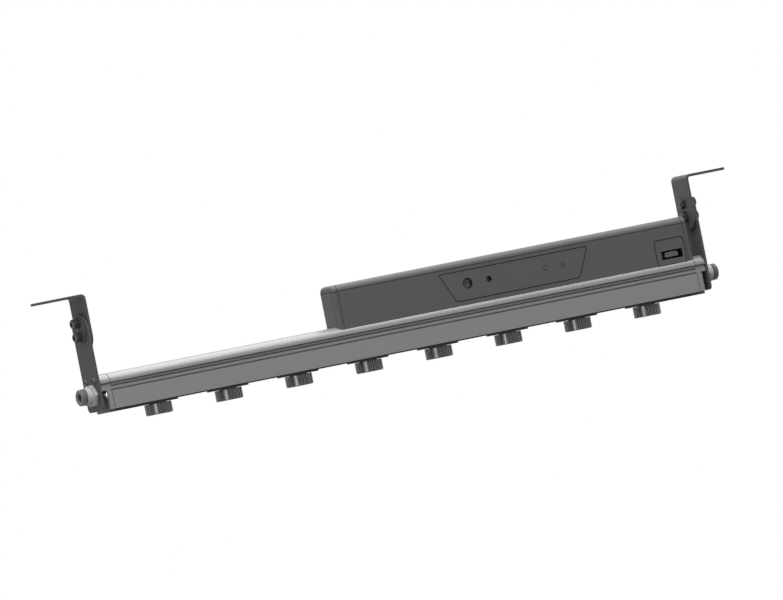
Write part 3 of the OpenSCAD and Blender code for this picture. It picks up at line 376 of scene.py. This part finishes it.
# %% Plastics and rubber
def moulded(
    name, colour, roughness, grain_mm=0.35, grain_depth=0.012, specular=0.5, coat=0.0, shadow=None
):
    """Plastic with its mould's grain, a little cloudy. `shadow` says where shade is painted."""
    f = Finish(name)
    grain = f.noise(grain_mm, detail=3.0, roughness=0.6)
    flow = f.noise(18, detail=2.0, roughness=0.5)
    shade = f.mottled((grain * 0.5 + flow * 0.5).clipped(), colour, 0.92, 1.08)
    if shadow:
        # Painted shade: where the mask is 1, the colour falls to 12 per cent of itself.
        shade = f.tint(shadow(f), shade, scaled(colour, 0.12))
    return f.surface(
        Base_Color=shade,
        Roughness=flow * 0.08 + roughness,
        Specular_IOR_Level=specular,
        Coat_Weight=coat,
        Normal=f.relief(grain, grain_depth, 0.5),
    )


def laminate(name, cell_mm=4):
    """Green solder mask over copper tracks, which stand up a little."""
    f = Finish(name)
    cells = f.node(
        "ShaderNodeTexVoronoi", {"feature": "DISTANCE_TO_EDGE", "distance": "MANHATTAN"},
        {"Vector": f.stretched((1, 1, 1)), "Scale": 1 / (cell_mm * MM)},
    )
    track = f.ramp(cells, [(0.02, 1), (0.06, 0)])
    shade = f.between(track, (0.01, 0.09, 0.035), (0.03, 0.17, 0.07))
    return f.surface(Base_Color=shade, Roughness=0.35, Normal=f.relief(track, 0.03, 0.6))


# %% One finish for each slot
finishes = {
    "bar_aluminium": anodized("satin_anodized", PROFILE_GREY, GROOVE_CORNERS),
    "cap_plastic": anodized("cap_satin", scaled(PROFILE_GREY, 1.02), GROOVE_CORNERS[:1], 0.6),
    "black_plastic": moulded("black_nylon", (0.014, 0.014, 0.015), 0.4, specular=0.2),
    "cartridge_plastic": moulded(
        "cartridge_nylon", (0.045, 0.045, 0.046), 0.2,
        grain_mm=0.5, grain_depth=0.004, specular=0.6, shadow=bottoms_of_the_flutes,
    ),
    "tinned_contact": turned_metal("tinned_contact", (0.42, 0.42, 0.41), 0.3),
    "duct_plastic": moulded("duct_natural", (0.5, 0.48, 0.43), 0.4),
    "contact_brass": turned_metal("contact_brass", (0.62, 0.42, 0.15), 0.25),
    "seal_rubber": moulded(
        "seal_rubber", (0.005, 0.005, 0.005), 0.85, grain_mm=0.2, grain_depth=0.01, specular=0.06
    ),
    "steel_screw": turned_metal("zinc_plated", (0.5, 0.5, 0.49), 0.28),
    "dark_screw": turned_metal("blackened_steel", (0.07, 0.07, 0.072), 0.33, metallic=0.8),
    "bracket_steel": powder_coat("powder_coat", BRACKET_GREY),
    "fitting_plastic": moulded(
        "fitting_grey", (0.43, 0.43, 0.425), 0.42, grain_mm=0.5, grain_depth=0.006, specular=0.2
    ),
    "ring_plastic": moulded("ring_grey", (0.1, 0.1, 0.1), 0.35),
    "box_plastic": moulded(
        "box_texture", (0.074, 0.071, 0.075), 0.5,
        grain_mm=0.28, grain_depth=0.02, specular=0.3, shadow=gaps_of_the_box,
    ),
    "label_plastic": moulded(
        "label_film", (0.075, 0.072, 0.076), 0.45,
        grain_mm=0.15, grain_depth=0.004, specular=0.3, shadow=edge_of_the_label,
    ),
    "board_laminate": laminate("board_green"),
    "component_black": moulded("component_black", (0.02, 0.02, 0.021), 0.4),
    "lens_plastic": moulded(
        "lens_smoke", (0.075, 0.075, 0.072), 0.2,
        grain_mm=0.5, grain_depth=0.002, specular=0.3, coat=0.15,
    ),
    "socket_plastic": moulded("socket_black", (0.005, 0.005, 0.005), 0.6, specular=0.12),
    "tongue_plastic": moulded("tongue_grey", (0.1, 0.098, 0.1), 0.45, specular=0.3),
    "needle_steel": turned_metal("needle_steel", (0.6, 0.6, 0.61), 0.18),
    "control_plastic": moulded("control_grey", (0.1, 0.098, 0.1), 0.4, specular=0.3),
}


def paint(obj, finish):
    obj.data.materials.clear()
    obj.data.materials.append(finish)


for name, node in nodes.items():
    paint(node, finishes[slot_of_node[name]])
print("finishes:", len(finishes))

# %% [markdown]
# ## Edges that catch the light
# Sheet metal is tumbled before it is coated, and the coat rounds it a little more, so no real edge
# is a line. The CAD solids have sharp edges. A bevel of a few tenths of a millimetre puts a thin
# light line there. It could be faked with a bump, but real faces also show in the exported meshes.
# Each softened copy stands in for its solid.

# %% Soften a copy of a solid
SOFT_RADIUS = 0.3 * MM
SOFT_STEPS = 2
SOFT_CORNER = math.radians(40)
FLAT_CORNER = math.radians(1)
WELD = 0.001 * MM


def evaluated_mesh(carrier):
    """A plain mesh of what an object's modifiers make. The object itself is thrown away."""
    bpy.context.scene.collection.objects.link(carrier)
    depsgraph = bpy.context.evaluated_depsgraph_get()
    mesh = bpy.data.meshes.new_from_object(carrier.evaluated_get(depsgraph))
    carrier.modifiers.clear()
    bpy.data.objects.remove(carrier)
    return mesh


def dressed(name, mesh, slot, body):
    """A new piece that rides on a body and takes its finish from a slot."""
    piece = bpy.data.objects.new(name, mesh)
    bpy.context.scene.collection.objects.link(piece)
    paint(piece, finishes[slot])
    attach(piece, body)
    print(f"{name}: {len(mesh.polygons)} faces on {body}")
    return piece


def softened(node):
    mesh = nodes[node].data.copy()
    build = bmesh.new()
    build.from_mesh(mesh)
    bmesh.ops.remove_doubles(build, verts=build.verts, dist=WELD)
    bmesh.ops.dissolve_limit(build, angle_limit=FLAT_CORNER, verts=build.verts, edges=build.edges)
    bmesh.ops.recalc_face_normals(build, faces=build.faces)
    build.to_mesh(mesh)
    build.free()
    carrier = bpy.data.objects.new("carrier", mesh)
    bevel = carrier.modifiers.new("bevel", "BEVEL")
    bevel.width, bevel.segments = SOFT_RADIUS, SOFT_STEPS
    bevel.limit_method, bevel.angle_limit = "ANGLE", SOFT_CORNER
    soft = evaluated_mesh(carrier)
    piece = dressed(f"{node}_soft", soft, slot_of_node[node], body_of_node[node])
    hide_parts(node)


# %% The sheet metal
for side in ("left", "right"):
    for part in ("bracket", "end_plate", "clamp_disc"):
        softened(f"{part}_{side}")

# %% [markdown]
# ## What repeats is grown from a rule
# The screws' knurled heads, the rings round the controls, the dials' marks and the beads in the
# panel's gaps are all small shapes set out along a circle or an outline. Geometry Nodes can do
# that from a few named sizes, so one tree is written for each kind and used wherever it fits. Its
# result is turned into a plain mesh, and then it rides on the part that carries it.


# %% A tree with named sizes
TUBE_SIDES = 8


class Rule(Wiring):
    """One Geometry Nodes tree with named sizes. `grow` gives its result as a mesh."""

    def __init__(self, name, **sizes):
        super().__init__(bpy.data.node_groups.new(name, "GeometryNodeTree"))
        self.tree.is_modifier = True
        self.socket("path", "Geometry")
        for size, first in sizes.items():
            self.socket(size, "Int" if isinstance(first, int) else "Float").default_value = first
        self.socket("finish", "Material")
        self.socket("shape", "Geometry", "OUTPUT")

    def socket(self, name, kind, side="INPUT"):
        """A new input or output of the whole tree."""
        return self.tree.interface.new_socket(name, in_out=side, socket_type=f"NodeSocket{kind}")

    def size(self, name):
        return self.node("NodeGroupInput", {}, {}, name)

    def point(self, x=0.0, y=0.0, z=0.0):
        return self.node("ShaderNodeCombineXYZ", {}, {"X": x, "Y": y, "Z": z})

    def circle(self, radius, steps):
        inputs = {"Resolution": steps, "Radius": radius}
        return self.node("GeometryNodeCurvePrimitiveCircle", {}, inputs)

    def ends_in(self, shape):
        real = self.node("GeometryNodeRealizeInstances", {}, {"Geometry": shape})
        inputs = {"Geometry": real, "Material": self.size("finish")}
        coloured = self.node("GeometryNodeSetMaterial", {}, inputs)
        self.node("NodeGroupOutput", {}, {"shape": coloured})

    def ends_in_tube(self, path, radius):
        """A round bead run along a path."""
        inputs = {"Curve": path, "Profile Curve": self.circle(radius, TUBE_SIDES)}
        self.ends_in(self.node("GeometryNodeCurveToMesh", {}, inputs))

    def grow(self, finish, path=(), **sizes):
        outline = bpy.data.meshes.new("carrier")
        outline.from_pydata(path, [(i, (i + 1) % len(path)) for i in range(len(path))], [])
        carrier = bpy.data.objects.new("carrier", outline)
        modifier = carrier.modifiers.new("rule", "NODES")
        modifier.node_group = self.tree
        for socket in self.tree.interface.items_tree:
            if socket.in_out == "INPUT" and socket.name in sizes:
                modifier[socket.identifier] = sizes[socket.name]
            elif socket.name == "finish":
                modifier[socket.identifier] = finish
        return evaluated_mesh(carrier)


# %% Copies round a circle
def around(rule, count, start, span, ring_radius, instance):
    """Copies of a shape on an arc in the XY plane, each turned to face away from the middle."""
    inputs = {"Count": count, "Offset": (0, 0, 0)}
    line = rule.node("GeometryNodeMeshLine", {"mode": "OFFSET"}, inputs)
    angle = start + rule.node("GeometryNodeInputIndex", {}, {}) * (span / count)
    spot = rule.point(
        ring_radius * rule.math("COSINE", angle), ring_radius * rule.math("SINE", angle)
    )
    placed = rule.node("GeometryNodeSetPosition", {}, {"Geometry": line, "Position": spot})
    facing = rule.node("FunctionNodeEulerToRotation", {}, {"Euler": rule.point(z=angle)})
    inputs = {"Points": placed, "Instance": instance, "Rotation": facing}
    return rule.node("GeometryNodeInstanceOnPoints", {}, inputs)


# %% One piece from several meshes
def join_meshes(name, placed, slot, body):
    """One piece from meshes and the places they go to."""
    build = bmesh.new()
    for mesh, place in placed:
        copy = mesh.copy()
        copy.transform(place)
        build.from_mesh(copy)
        bpy.data.meshes.remove(copy)
    bmesh.ops.recalc_face_normals(build, faces=build.faces)
    joined = bpy.data.meshes.new(name)
    build.to_mesh(joined)
    build.free()
    dressed(name, joined, slot, body)


# %% [markdown]
# ## Knurled screw heads
# A cap screw's head has fine ridges, so that it can be run in by hand before the key tightens it.
# Each ridge is a three-sided bar that lies on the head's side, and fifty of them go round it. They
# could be modelled by cutting the head, but ridges that stand on it keep the turned-off edge above
# them smooth, as on the real screw.

# %% One ridge, repeated round a head
HEAD_RADIUS = 3.5 * MM
HEAD_EDGE = 0.42 * MM
RIDGES = 50
RIDGE_SIDES = 3
RIDGE_SIZE = 0.13 * MM
RIDGE_LENGTH = 2.6 * MM
RIDGE_LIFT = 0.02 * MM
RIDGE_GAP = 0.25 * MM
knurl = Rule(
    "knurl", ridges=RIDGES,
    head_radius=HEAD_RADIUS, ridge_length=RIDGE_LENGTH, ridge_size=RIDGE_SIZE,
)
ridge = knurl.node(
    "GeometryNodeMeshCylinder", {"fill_type": "NGON"},
    {
        "Vertices": RIDGE_SIDES,
        "Radius": knurl.size("ridge_size"), "Depth": knurl.size("ridge_length"),
    },
)
knurl.ends_in(around(knurl, knurl.size("ridges"), 0.0, math.tau, knurl.size("head_radius"), ridge))
print("nodes in the knurl's tree:", len(knurl.tree.nodes))

# %% Set them on the heads
lying = Matrix.Rotation(math.pi / 2, 4, "Y")
for side, outwards in (("left", -1), ("right", 1)):
    low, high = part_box(f"bracket_screws_{side}")
    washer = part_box(f"bracket_washers_{side}")
    head_base = washer[1].x if outwards > 0 else -washer[0].x
    head_top = high.x if outwards > 0 else -low.x
    length = head_top - head_base - HEAD_EDGE - 2 * RIDGE_GAP
    centre_x = outwards * (head_base + RIDGE_GAP + length / 2)
    heads = [Vector((centre_x, 0, z)) for z in (low.z + HEAD_RADIUS, high.z - HEAD_RADIUS)]
    ridges = knurl.grow(
        finishes["dark_screw"],
        head_radius=HEAD_RADIUS + RIDGE_LIFT, ridge_length=length, ridge_size=RIDGE_SIZE,
    )
    placed = [(ridges, Matrix.Translation(head) @ lying) for head in heads]
    join_meshes(f"screw_knurls_{side}", placed, "dark_screw", f"bracket_{side}")

# %% [markdown]
# ## Rings and marks round the controls
# The panel's film has a raised ring round each control and each status lens, which keeps a finger
# off the edge of the hole. The selector clicks through ten places and the trimmer has three marks,
# all without words. A ring is a small profile run round a circle.

# %% A raised ring
RING_STEPS = 40
WIRE_RADIUS = 0.21 * MM
SELECTOR_RING, TRIMMER_RING, LENS_RING = 3.85 * MM, 2.0 * MM, 1.65 * MM
bezel = Rule("bezel", ring_radius=LENS_RING, wire_radius=WIRE_RADIUS)
bezel.ends_in_tube(bezel.circle(bezel.size("ring_radius"), RING_STEPS), bezel.size("wire_radius"))
print("nodes in the ring's tree:", len(bezel.tree.nodes))

# %% Marks on an arc
MARK_WIDTH = 0.2 * MM
MARK_HEIGHT = 0.08 * MM
SELECTOR_MARKS = {
    "count": 10, "start": math.pi / 2, "span": math.tau,
    "ring_radius": 4.9 * MM, "mark_length": 0.7 * MM,
}
TRIMMER_MARKS = {
    "count": 3, "start": math.radians(-45), "span": 3 * math.radians(135),
    "ring_radius": 2.9 * MM, "mark_length": 0.6 * MM,
}
marks = Rule("marks", mark_width=MARK_WIDTH, **SELECTOR_MARKS)
mark_size = marks.point(marks.size("mark_length"), marks.size("mark_width"), MARK_HEIGHT)
mark = marks.node("GeometryNodeMeshCube", {}, {"Size": mark_size})
arc = [marks.size(name) for name in ("count", "start", "span", "ring_radius")]
marks.ends_in(around(marks, *arc, mark))
print("nodes in the marks' tree:", len(marks.tree.nodes))

# %% Set them on the panel
LENS_FLANGE = 2.1 * MM
panel_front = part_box("label_panel")[0].y
upright = Matrix.Rotation(math.pi / 2, 4, "X")


def middle_of(node):
    low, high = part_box(node)
    return (low + high) / 2


def on_panel(x, z):
    return Matrix.Translation((x, panel_front, z)) @ upright


selector, trimmer = middle_of("mode_selector"), middle_of("balance_trimmer")
lens_low, lens_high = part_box("status_lenses")
circles = [(selector.x, SELECTOR_RING), (trimmer.x, TRIMMER_RING)]
circles += [(x, LENS_RING) for x in (lens_low.x + LENS_FLANGE, lens_high.x - LENS_FLANGE)]
rings = []
for x, radius in circles:
    ring = bezel.grow(finishes["socket_plastic"], ring_radius=radius, wire_radius=WIRE_RADIUS)
    rings.append((ring, on_panel(x, selector.z)))
join_meshes("control_rings", rings, "socket_plastic", "bar")
dials = []
for control, sizes in ((selector, SELECTOR_MARKS), (trimmer, TRIMMER_MARKS)):
    dial = marks.grow(finishes["tongue_plastic"], mark_width=MARK_WIDTH, **sizes)
    dials.append((dial, on_panel(control.x, control.z)))
join_meshes("dial_marks", dials, "tongue_plastic", "bar")

# %% [markdown]
# ## Beads in the gaps
# The panel film and the socket's plate sit in shallow pockets of the cover, and a thin black bead
# fills the gap round each, so that no dust gets under them. Each bead follows the plate's own
# outline. The outline is read from the front face of the plate's solid, which keeps the bead right
# if the plate changes size.

# %% The outline of a plate
SAME_PLANE = 0.01 * MM
STRAIGHT = 1e-12


def outline_of(node, outwards):
    """The front edge of a plate that faces -Y, in order, pushed outwards in its own plane."""
    corners = [v.co for v in nodes[node].data.vertices]
    front = min(c.y for c in corners)
    found = {(round(c.x, 6), round(c.z, 6)) for c in corners if c.y < front + SAME_PLANE}
    rim = convex_rim(sorted(found))
    pushed = []
    for before, (x, z), after in zip(rim[-1:] + rim[:-1], rim, rim[1:] + rim[:1]):
        along = Vector((after[0] - before[0], after[1] - before[1])).normalized()
        pushed.append((x + along.y * outwards, front, z - along.x * outwards))
    low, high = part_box(node)
    plate_size = (high - low) / MM
    print(f"{node}: {len(pushed)} points round {plate_size.x:.1f} x {plate_size.z:.1f} mm")
    return pushed


def convex_rim(points):
    """The outer points, anticlockwise from the left. The plate's inner holes are left out."""
    halves = []
    for run in (points, points[::-1]):
        half = []
        for p in run:
            while len(half) > 1 and turn(half[-2], half[-1], p) <= STRAIGHT:
                half.pop()
            half.append(p)
        halves += half[:-1]
    return halves


def turn(a, b, c):
    """Positive where the way from a by b to c turns left."""
    return (b[0] - a[0]) * (c[1] - a[1]) - (b[1] - a[1]) * (c[0] - a[0])


# %% Run a bead round each plate
BEAD_RADIUS = 0.32 * MM
BEAD_OUTWARDS = 0.2 * MM
BEAD_SINK = 0.12 * MM
bead = Rule("bead", bead_radius=BEAD_RADIUS)
track = bead.node("GeometryNodeMeshToCurve", {}, {"Mesh": bead.size("path")})
bead.ends_in_tube(track, bead.size("bead_radius"))
print("nodes in the bead's tree:", len(bead.tree.nodes))
sunk = Matrix.Translation((0, BEAD_SINK, 0))
beads = []
for plate in ("label_panel", "socket_plate"):
    path = outline_of(plate, BEAD_OUTWARDS)
    beads.append((bead.grow(finishes["seal_rubber"], path=path, bead_radius=BEAD_RADIUS), sunk))
join_meshes("panel_beads", beads, "seal_rubber", "bar")

# %% [markdown]
# ## Light and background
# Plain studio light: an even sky all round, a very large soft box overhead, a large dim one in
# front, and a small one at the left that puts a highlight on each cartridge. The background could
# be a white wall, but a sky that is white to the camera and to reflections, and dim to everything
# else, looks the same from every side and doesn't wash out the greys.

# %% World
SKY = 0.26
WHITE = (1, 1, 1, 1)


def shown_white(wiring):
    """1 for the rays that show the background: from the camera, off gloss, through clear parts."""
    kinds = ("Is Camera Ray", "Is Glossy Ray", "Is Transmission Ray")
    seen, gloss, clear = [wiring.node("ShaderNodeLightPath", {}, {}, kind) for kind in kinds]
    return wiring.math("MAXIMUM", wiring.math("MAXIMUM", seen, gloss), clear)


world = bpy.data.worlds.new("studio")
bpy.context.scene.world = world
world.use_nodes = True
sky = Wiring(world.node_tree)
sky.tree.nodes.clear()
light = sky.node("ShaderNodeBackground", {}, {"Color": WHITE, "Strength": SKY})
backdrop = sky.node("ShaderNodeBackground", {}, {"Color": WHITE, "Strength": 1.0})
inputs = {"Fac": shown_white(sky), 1: light, 2: backdrop}
sky.node("ShaderNodeOutputWorld", {}, {"Surface": sky.node("ShaderNodeMixShader", {}, inputs)})
print("sky:", SKY)

# %% Lamps
MIDDLE = Vector((0, 0, 0.05))
LAMPS = {
    "key": {"place": (-0.3, -1.6, 0.7), "size": (1.4, 0.8), "watts": 3},
    "side": {"place": (-1.6, -1.2, 0.08), "size": (0.55, 0.5), "watts": 9},
    "top": {"place": (0, -0.1, 1.9), "size": (2.6, 3.0), "watts": 125},
}


def soft_box(name, place, size, watts):
    """A soft rectangle of light that faces the middle of the bar."""
    lamp = bpy.data.lights.new(name, "AREA")
    lamp.shape = "RECTANGLE"
    lamp.size, lamp.size_y = size
    lamp.energy = watts
    obj = bpy.data.objects.new(name, lamp)
    bpy.context.scene.collection.objects.link(obj)
    obj.location = place
    obj.rotation_euler = (MIDDLE - Vector(place)).to_track_quat("-Z", "Y").to_euler()


for name, sizes in LAMPS.items():
    soft_box(name, **sizes)
    print(f"{name}: {sizes['watts']} W from {sizes['place']} m")

# %% [markdown]
# ## The floor
# The bar hangs, so the floor lies well below it and only takes a soft shadow. It is part glowing,
# which keeps it as white as the background. It is clear from its underside, so that a look from
# below isn't a look at the floor.

# %% Floor
FLOOR_Z = -0.25
FLOOR_RADIUS = 1.3
FLOOR_SIDES = 96
mesh = bpy.data.meshes.new("floor")
build = bmesh.new()
bmesh.ops.create_circle(build, cap_ends=True, radius=FLOOR_RADIUS, segments=FLOOR_SIDES)
build.to_mesh(mesh)
build.free()
floor = bpy.data.objects.new("floor", mesh)
floor.location = (0, 0, FLOOR_Z)
bpy.context.scene.collection.objects.link(floor)
print(f"floor {-FLOOR_Z} m below the outlets, {2 * FLOOR_RADIUS} m across")

# %% The floor's finish
FLOOR_WHITE = 0.8
FLOOR_BOUNCE = 0.05
FLOOR_ROUGHNESS = 0.9
FLOOR_GLOW = 0.45


def glowing_floor(name):
    """White that glows in part, and is clear when it is seen from its underside."""
    f = Finish(name)
    shown = shown_white(f)
    grey = shown * (FLOOR_WHITE - FLOOR_BOUNCE) + FLOOR_BOUNCE
    f.surface(Base_Color=grey, Roughness=FLOOR_ROUGHNESS)
    white = Value(f, f.shader.outputs[0])
    glow = f.node("ShaderNodeEmission", {}, {"Strength": 1.0})
    top_side = f.node("ShaderNodeMixShader", {}, {"Fac": shown * FLOOR_GLOW, 1: white, 2: glow})
    from_below = f.node("ShaderNodeNewGeometry", {}, {}, "Backfacing")
    clear = f.node("ShaderNodeBsdfTransparent", {}, {})
    one_sided = f.node("ShaderNodeMixShader", {}, {"Fac": from_below, 1: top_side, 2: clear})
    f.put(f.tree.nodes["Material Output"].inputs["Surface"], one_sided)
    return f.material


paint(floor, glowing_floor("floor_white"))
print("floor glow:", FLOOR_GLOW)

# %% [markdown]
# ## The view transform
# The view transform stays plain, so that a colour is shown as it was written.

# %% Finish
bpy.context.scene.view_settings.view_transform = "Standard"
